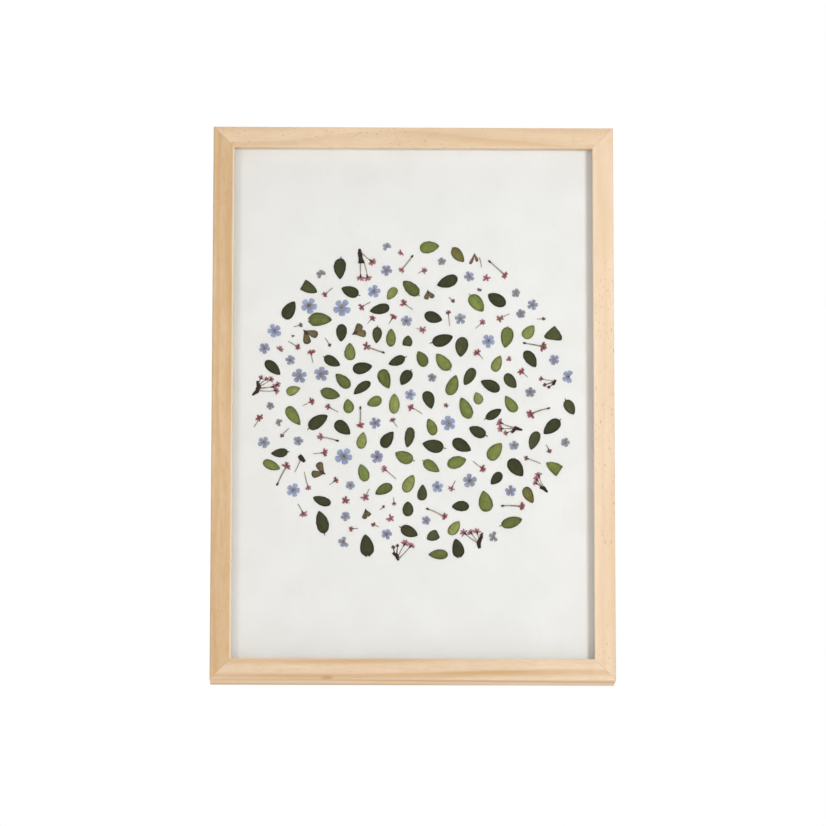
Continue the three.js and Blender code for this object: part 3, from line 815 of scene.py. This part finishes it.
def blade(base, tip, half_width, lift, thickness, steps, sway=0.0, ripple=0.0, first=0.0, phase=0.0,
          heart=0.0):
    """A thin curved sheet from base to tip, and where each point lies along and across it."""
    rows, columns = steps
    spread = 0.5 - 0.5 * np.cos(np.linspace(0, math.pi, rows))
    along = first + (NEAR_TIP - first) * (NEAR_BASE + (1 - NEAR_BASE) * spread)
    side = np.linspace(-1, 1, columns)
    base, tip = np.array(base), np.array(tip)
    length = np.linalg.norm(tip - base)
    axis = (tip - base) / length
    normal = np.array([-axis[1], axis[0]])
    share = (along - first) / (1 - first)
    bow = sway * length * 4 * share * (1 - share)
    middle = base + np.outer(share * length, axis) + np.outer(bow, normal)
    width = half_width(along)
    wave = 1 + ripple * np.sin(along * RIPPLES + phase)[:, None] * np.sign(side)
    flat = middle[:, None, :] + (width[:, None] * side * wave)[:, :, None] * normal
    lobes = np.outer((1 - share) ** 6, np.sin(math.pi * np.abs(side)))
    flat = flat - heart * length * lobes[:, :, None] * axis
    bottom = GLUE_FILM + lift(share[:, None], side[None, :])
    top = bottom + thickness * (1 - EDGE_THINNING * side[None, :] ** 2) * np.ones_like(share)[:, None]
    places = np.zeros((rows, columns, 3))
    places[..., 0] = share[:, None]
    places[..., 1] = side[None, :]
    places = places.reshape(-1, 3)
    top_points = np.concatenate([flat, top[..., None]], -1).reshape(-1, 3)
    bottom_points = np.concatenate([flat, bottom[..., None]], -1).reshape(-1, 3)
    points = np.concatenate([top_points, bottom_points])
    return points, grid_faces(rows, columns), np.concatenate([places, places])


def tube(points, radii, flatness=0.6, height=GLUE_FILM, sides=7):
    """A pressed stem: a tube along points on the sheet, flattened, with both ends closed."""
    points = np.array(points, float)
    rows = len(points)
    ahead = np.gradient(points, axis=0)
    ahead /= np.linalg.norm(ahead, axis=1)[:, None]
    normal = np.stack([-ahead[:, 1], ahead[:, 0]], -1)
    turn = np.linspace(0, 2 * math.pi, sides, endpoint=False)
    radii = np.array(radii, float)
    flat = points[:, None, :] + (radii[:, None] * np.cos(turn))[:, :, None] * normal[:, None, :]
    up = height + flatness * radii[:, None] * (1 + np.sin(turn))
    solid = np.concatenate([flat, up[..., None]], -1).reshape(-1, 3)
    index = np.arange(rows * sides).reshape(rows, sides)
    turned = np.roll(index, -1, axis=1)
    walls = np.stack([index[:-1], turned[:-1], turned[1:], index[1:]], -1).reshape(-1, 4)
    faces = [*walls, index[0, ::-1], index[-1]]
    places = np.zeros((rows * sides, 3))
    places[:, 0] = np.repeat(np.linspace(0, 1, rows), sides)
    return solid, faces, places


def bent_line(start, end, bend, count):
    """Points from start to end along a shallow curve, bend being its height as a share of the length."""
    start, end = np.array(start, float), np.array(end, float)
    share = np.linspace(0, 1, count)[:, None]
    across = np.array([start[1] - end[1], end[0] - start[0]])
    return start + (end - start) * share + across * bend * 4 * share * (1 - share)


def spindle(start, end, radii, height, flatness=0.5, bend=0.0):
    """A short swelling from start to end, with its half width at even steps."""
    return tube(bent_line(start, end, bend, len(radii)), radii, flatness, height)


def shaded(tone, spread=0.12):
    """A tone made a little lighter or darker, as each specimen dried in its own way."""
    factor = 1 + draw.uniform(-spread, spread)
    return (*[channel * factor for channel in TONES[tone][:3]], 1.0)


# The curve at the base and at the tip of a leaf wider than long, and of a leaf with a heart-shaped base
WIDE_LEAF = (0.22, 1.0)
HEART_LEAF = (0.30, 0.66)
HEART_DEPTH = 0.09
HEART_BASES = [(-56.6, 45.0), (-24.4, -86.0), (25.6, -86.6), (31.2, -9.0)]
STALK_RADII = [0.34, 0.32, 0.28, 0.26, 0.2]


def add_leaf(heap, base, tip, width, tone, stalk=0.0, cut=0.0):
    """An ovate leaf, slightly curled, with a stub of stalk if it kept one."""
    round_base, sharp_tip = draw.uniform(0.43, 0.54), draw.uniform(0.66, 0.82)
    is_heart = base in HEART_BASES
    if width > math.dist(base, tip):
        round_base, sharp_tip = WIDE_LEAF
    if is_heart:
        round_base, sharp_tip = HEART_LEAF
    widest = round_base / (round_base + sharp_tip)
    most = widest ** round_base * (1 - widest) ** sharp_tip
    curl = draw.uniform(0.02, 0.12)
    tip_curl = draw.uniform(0.0, 0.12)

    def half_width(along):
        return width / 2 * along ** round_base * (1 - along) ** sharp_tip / most

    def lift(share, side):
        return curl * side ** 2 + tip_curl * share ** 4

    tint = shaded(tone)
    heap.add(*blade(
        base, tip, half_width, lift, LEAF_THICKNESS, (19, 11), sway=draw.uniform(-0.035, 0.035),
        ripple=draw.uniform(0.0, 0.03), first=cut, phase=draw.uniform(0, 6),
        heart=HEART_DEPTH if is_heart else 0.0,
    ), tint)
    if stalk:
        away = unit(np.array(base) - np.array(tip))
        bend = draw.uniform(-0.15, 0.15)
        stub = spindle(base - 0.5 * away, base + stalk * away, STALK_RADII, GLUE_FILM, 0.6, bend)
        heap.add(*stub, tint)


STUB_RADII = 0.13 * np.array([0.8, 1.3, 1.2, 0.8, 0.5])


def add_lobed_leaf(heap, apex, first_end, second_end, width, tone):
    """Two rounded lobes that meet at a dark stub."""
    def half_width(along):
        return width / 2 * (0.30 + 0.85 * along) * np.sqrt(1 - along ** 6)

    def lift(share, side):
        return 0.05 * side ** 2 + 0.06 * share

    for end in (first_end, second_end):
        heap.add(*blade(
            apex, end, half_width, lift, LEAF_THICKNESS, (15, 9), sway=draw.uniform(-0.05, 0.05),
            ripple=0.02, phase=draw.uniform(0, 6),
        ), shaded(tone, 0.2))
    away = width * unit(2 * np.array(apex) - np.array(first_end) - np.array(second_end))
    stub = spindle(apex - 0.35 * away, apex + 0.3 * away, width * STUB_RADII, 0.1, flatness=0.4)
    heap.add(*stub, shaded("calyx"))


# Forget-me-nots under this width are fuller, and their eyes' half widths are shares of the width
COMPACT_FLOWER = 5.5
SCALE_RADII = np.array([0.025, 0.046, 0.046, 0.025])
DOT_RADII = np.array([0.025, 0.048, 0.048, 0.025])
FIFTH_TURN = 72


def add_forget_me_not(petals, eyes, centre, across, angle, tone, count=5):
    """The petals left on, and an eye of five scales round a dark dot."""
    reach = across / 2
    fullness = 0.46 if across < COMPACT_FLOWER else 0.425
    centre = np.array(centre)
    for k in range(count):
        turn = math.radians(angle + FIFTH_TURN * k + draw.uniform(-5, 5))
        length = reach * draw.uniform(0.93, 1.05)
        width = reach * fullness * draw.uniform(0.92, 1.08)
        cup = draw.uniform(0.02, 0.10)
        level = 0.06 * (k % 2)

        def half_width(along):
            return width * (0.26 + 1.02 * along) * np.sqrt(1 - along ** 4.5)

        def lift(share, side):
            return level + cup * side ** 2 + 0.05 * share

        way = direction(turn)
        petals.add(*blade(
            centre + 0.06 * reach * way, centre + length * way, half_width, lift, PETAL_THICKNESS, (10, 7),
            ripple=0.03, phase=draw.uniform(0, 6),
        ), shaded(tone, 0.1))
    for k in range(5):
        way = direction(math.radians(angle + FIFTH_TURN * (k + 0.5)))
        middle = centre + 0.092 * across * way
        half = 0.05 * across * np.array([-way[1], way[0]])
        scale = spindle(middle - half, middle + half, across * SCALE_RADII, 0.2, bend=0.1)
        eyes.add(*scale, shaded("eye", 0.25))
    half = np.array([0.035 * across, 0.0])
    eyes.add(*spindle(centre - half, centre + half, across * DOT_RADII, 0.18), shaded("calyx", 0.2))


# How a small head was pressed: its petals' turns in degrees, and their reach and half width for a size of 1
HEADS = {
    "fan": ((-84, -42, 0, 42, 84), 0.64, 0.1736),
    "star": ((0, 72, 144, 216, 288), 0.56, 0.1736),
    "bud": ((0, 105, 255), 0.5, 0.31),
}


def add_petal_head(petals, head, size, kind, tone, away):
    """A small head: petals in a fan away from the stem, in a star, or closed as a bud."""
    turns, reach, slim = HEADS[kind]
    head = np.array(head)
    facing = math.atan2(away[1], away[0])
    for level, degrees in enumerate(turns):
        turn = facing + math.radians(degrees + draw.uniform(-12, 12))
        length = reach * size * draw.uniform(0.82, 1.12)
        width = slim * size * draw.uniform(0.85, 1.15)
        step = 0.04 * level

        def half_width(along):
            return width * (0.45 + 0.75 * along) * (1 - along ** 4) ** 0.6

        def lift(share, side):
            return step + 0.05 * share + 0.04 * side ** 2

        way = direction(turn)
        petals.add(*blade(
            head - 0.05 * size * way, head + length * way, half_width, lift, PETAL_THICKNESS, (8, 5),
            sway=draw.uniform(-0.08, 0.08), ripple=0.04, phase=draw.uniform(0, 6),
        ), shaded(tone, 0.2))


# Stems over this length are thicker and end in a dark bulb, and a head with no stem is turned by its size
LONG_STEM = 9.3
LOOSE_TURN = 9
CALYX_RADII = [0.28, 0.46, 0.55, 0.5, 0.3]
BULB_RADII = [0.3, 0.42, 0.55, 0.58, 0.46, 0.2]


def add_crimson_flower(petals, stems, head, size, kind, tone, end=None):
    """A small head, and its stem and calyx if it kept them."""
    if end is None:
        add_petal_head(petals, head, size, kind, tone, direction(LOOSE_TURN * size))
        return
    is_long = math.dist(head, end) > LONG_STEM
    away = unit(np.array(head) - np.array(end))
    add_petal_head(petals, head, size, kind, tone, away)
    line = bent_line(head, end, draw.uniform(-0.03, 0.03), 9)
    thick = 0.45 if is_long else 0.31
    stems.add(*tube(line, np.linspace(thick, thick * 0.75, 9)), shaded("stem"))
    calyx = spindle(head - 0.42 * size * away, head + 0.05 * size * away, CALYX_RADII, 0.06)
    stems.add(*calyx, shaded("rust", 0.2))
    if is_long:
        bulb = spindle(line[-1] + 1.9 * away, line[-1] - 0.3 * away, BULB_RADII, 0.04)
        stems.add(*bulb, shaded("calyx", 0.2))


# Umbel buds over this size have opened
OPEN_BUD = 2.5
BUD_CALYX_RADII = [0.24, 0.40, 0.52, 0.5, 0.3]


def add_umbel(petals, stems, stalk, half_widths, rays):
    """A dark stalk whose rays end in small heads."""
    stretches = [bent_line(start, end, 0.03, 5)[:-1] for start, end in zip(stalk, stalk[1:])]
    line = np.concatenate([*stretches, [stalk[-1]]])
    width = np.interp(np.linspace(0, 1, len(line)), np.linspace(0, 1, len(stalk)), half_widths)
    stems.add(*tube(line, width, 0.18), shaded("twig", 0.2))
    for start, bud, size in rays:
        kind, tone = ("fan", "rose") if size > OPEN_BUD else ("bud", "rust")
        ray_tone = "calyx" if 0 < size <= OPEN_BUD else "stem"
        ray = bent_line(start, bud, draw.uniform(-0.05, 0.05), 7)
        stems.add(*tube(ray, np.linspace(0.36, 0.22, 7), 0.5), shaded(ray_tone, 0.2))
        if not size:
            continue
        away = unit(ray[-1] - ray[0])
        calyx = spindle(ray[-1] - 0.45 * size * away, ray[-1] + 0.1 * size * away, BUD_CALYX_RADII, 0.08)
        stems.add(*calyx, shaded("calyx", 0.2))
        add_petal_head(petals, bud, size, kind, tone, away)


# Materials of the frame's own pieces
steel = zinc_steel("zinc_steel")
node_materials = {node: pine(f"pine_{node}", **wood) for node, wood in RAILS.items()}
node_materials["glass_pane"] = clear_glass("clear_glass")
node_materials["flower_sheet"] = white_paper("white_paper")
node_materials["backing_board"] = fibreboard("fibreboard")
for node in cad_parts:
    if node.startswith(("tab_", "sawtooth_", "hanger_")):
        node_materials[node] = steel
for node, material in node_materials.items():
    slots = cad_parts[node].data.materials
    slots.clear()
    slots.append(material)

# Pressed plants
leaf_material = pressed_leaf("pressed_leaf")
stem_material = dried_stem("dried_stem")
for number, leaf in enumerate(SOLID_LEAVES, 1):
    heap = JoinedMesh()
    add_leaf(heap, *leaf)
    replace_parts(heap.piece(f"pressed_leaf_{number:02d}", leaf_material), f"leaf_{number:02d}")

pale_leaves = JoinedMesh()
for leaf in OTHER_LEAVES:
    add_leaf(pale_leaves, *leaf)
pale_leaves.piece("pale_leaves", leaf_material)

lobed_leaves = JoinedMesh()
for leaf in LOBED_LEAVES:
    add_lobed_leaf(lobed_leaves, *leaf)
lobed_leaves.piece("lobed_leaves", leaf_material)

blue_petals, eyes = JoinedMesh(), JoinedMesh()
for flower in FORGET_ME_NOTS:
    add_forget_me_not(blue_petals, eyes, *flower)
blue_petals.piece("forget_me_not_petals", pressed_petal("blue_petal", BLUE_THROAT))
eyes.piece("forget_me_not_eyes", stem_material)

crimson_petals, stems = JoinedMesh(), JoinedMesh()
for flower in CRIMSON_FLOWERS:
    add_crimson_flower(crimson_petals, stems, *flower)
for start, end in BARE_STEMS:
    stems.add(*tube(bent_line(start, end, 0.03, 7), np.linspace(0.3, 0.22, 7)), shaded("stem"))
umbel_petals, umbel_stems = JoinedMesh(), JoinedMesh()
for umbel in UMBELS:
    add_umbel(umbel_petals, umbel_stems, *umbel)
crimson_material = pressed_petal("crimson_petal", CRIMSON_THROAT)
crimson_petals.piece("crimson_petals", crimson_material)
stems.piece("flower_stems", stem_material)
umbel_petals.piece("umbel_buds", crimson_material)
umbel_stems.piece("umbel_stalks", stem_material)


# Studio: a pale floor far below, a white surround and soft lights
def studio_floor():
    mesh = bpy.data.meshes.new("floor")
    half = FLOOR_SIZE / 2
    level = cad_low.z - FLOOR_DROP
    corners = [(-half, -half, level), (half, -half, level), (half, half, level), (-half, half, level)]
    mesh.from_pydata(corners, [], [(0, 1, 2, 3)])
    mesh.materials.append(pale_floor("pale_floor"))
    placed("floor", mesh)


def soft_light(name, place, aim, size, power, colour=NEUTRAL, in_glass=False):
    """A square area light that points at aim, kept out of the glass's reflections unless asked for."""
    lamp = bpy.data.lights.new(name, "AREA")
    lamp.size = size
    lamp.energy = power
    lamp.color = colour
    light = placed(name, lamp)
    light.visible_glossy = in_glass
    light.visible_transmission = in_glass
    light.location = place
    light.rotation_mode = "QUATERNION"
    light.rotation_quaternion = (Vector(aim) - Vector(place)).to_track_quat("-Z", "Y")


def overhead_light():
    """An even light from straight above, for the floor and the tops of things."""
    lamp = bpy.data.lights.new("overhead", "SUN")
    lamp.energy = OVERHEAD_POWER
    lamp.angle = math.radians(OVERHEAD_SPREAD)
    placed("overhead", lamp)


def white_world():
    """White all round to the camera, and a softer, warmer white as light."""
    world = bpy.data.worlds.new("white_surround")
    world.use_nodes = True
    nodes, links = world.node_tree.nodes, world.node_tree.links
    background = nodes["Background"]
    path = nodes.new("ShaderNodeLightPath")
    strength = nodes.new("ShaderNodeMapRange")
    links.new(path.outputs["Is Camera Ray"], strength.inputs["Value"])
    strength.inputs["To Min"].default_value = WORLD_LIGHT
    strength.inputs["To Max"].default_value = 1.0
    links.new(strength.outputs["Result"], background.inputs["Strength"])
    tint = nodes.new("ShaderNodeMix")
    tint.data_type = "RGBA"
    links.new(path.outputs["Is Camera Ray"], tint.inputs[0])
    tint.inputs[6].default_value = (*WARM, 1)
    tint.inputs[7].default_value = (*NEUTRAL, 1)
    links.new(tint.outputs[2], background.inputs["Color"])
    bpy.context.scene.world = world


def camera():
    face = Vector((SHEET_CENTRE_X, cad_low.y, SHEET_CENTRE_Z))
    data = bpy.data.cameras.new("camera")
    data.lens = CAMERA_LENS
    data.sensor_width = CAMERA_SENSOR
    made = placed("camera", data)
    made.location = face + Vector(CAMERA_PLACE)
    aim = (face + Vector(CAMERA_TARGET) - made.location).to_track_quat("-Z", "Y")
    made.rotation_mode = "QUATERNION"
    made.rotation_quaternion = aim @ Matrix.Rotation(math.radians(CAMERA_ROLL), 3, "Z").to_quaternion()
    bpy.context.scene.camera = made


studio_floor()
white_world()
overhead_light()
middle = (0.0, cad_low.y, SHEET_CENTRE_Z)
under_edge = (0.0, cad_low.y, cad_low.z)
soft_light("key_right", (0.56, -0.98, SHEET_CENTRE_Z + 0.05), middle, size=0.22, power=5.6, colour=COOL)
soft_light("fill_left", (-1.10, -1.95, SHEET_CENTRE_Z + 0.05), middle, size=0.45, power=7.0, colour=COOL)
soft_light("front_low", (0.0, -2.5, SHEET_CENTRE_Z - 0.45), middle, size=0.9, power=2.5, colour=WARM)
soft_light("below", (0.0, -0.15, cad_low.z - 1.1), under_edge, size=1.2, power=2.4, colour=HONEY)
soft_light("behind", (0.4, 1.6, SHEET_CENTRE_Z + 0.9), middle, size=1.4, power=22.0, in_glass=True)
camera()
bpy.context.scene.view_settings.view_transform = "Standard"
